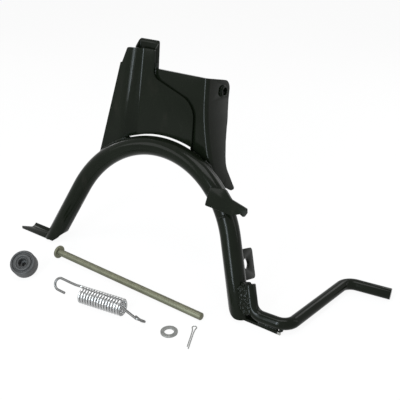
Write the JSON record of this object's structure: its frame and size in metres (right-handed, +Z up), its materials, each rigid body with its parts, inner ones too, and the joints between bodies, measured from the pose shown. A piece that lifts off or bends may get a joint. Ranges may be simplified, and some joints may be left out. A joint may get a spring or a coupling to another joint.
{
  "type": "motorcycle centre stand",
  "caption": "Welded tubular scooter stand with pressed pivot body, skids and foot lever, with its pivot pin, spring, washer, split pin and buffer laid in front.",
  "frame": {"origin": "middle of the whole set's footprint, on the surface that it stands and lies on", "axes": "+Z up, +X from the plain foot to the foot that carries the lever, -Y to the side where the loose hardware lies"},
  "size_m": [0.5568, 0.271, 0.3111],
  "materials": {
    "black_paint": "gloss black paint over welded steel",
    "olive_zinc": "dull olive zinc plating on turned steel",
    "bright_zinc": "bright zinc on drawn spring wire",
    "plain_zinc": "dull grey zinc",
    "rubber": "matt moulded rubber"
  },
  "bodies": {
    "root": {"arch_tube": "black_paint", "left_pressing": "black_paint", "right_pressing": "black_paint", "ear_channel": "black_paint", "left_pivot_ear": "black_paint", "left_pivot_bush": "black_paint", "right_pivot_bush": "black_paint", "spring_hook_plate": "black_paint", "buffer_plate": "black_paint", "left_foot_plate": "black_paint", "right_foot_plate": "black_paint", "lever_rod": "black_paint", "pivot_pin": "olive_zinc", "return_spring": "bright_zinc", "flat_washer": "plain_zinc", "split_pin": "plain_zinc", "rubber_buffer": "rubber"}
  },
  "joints": []
}
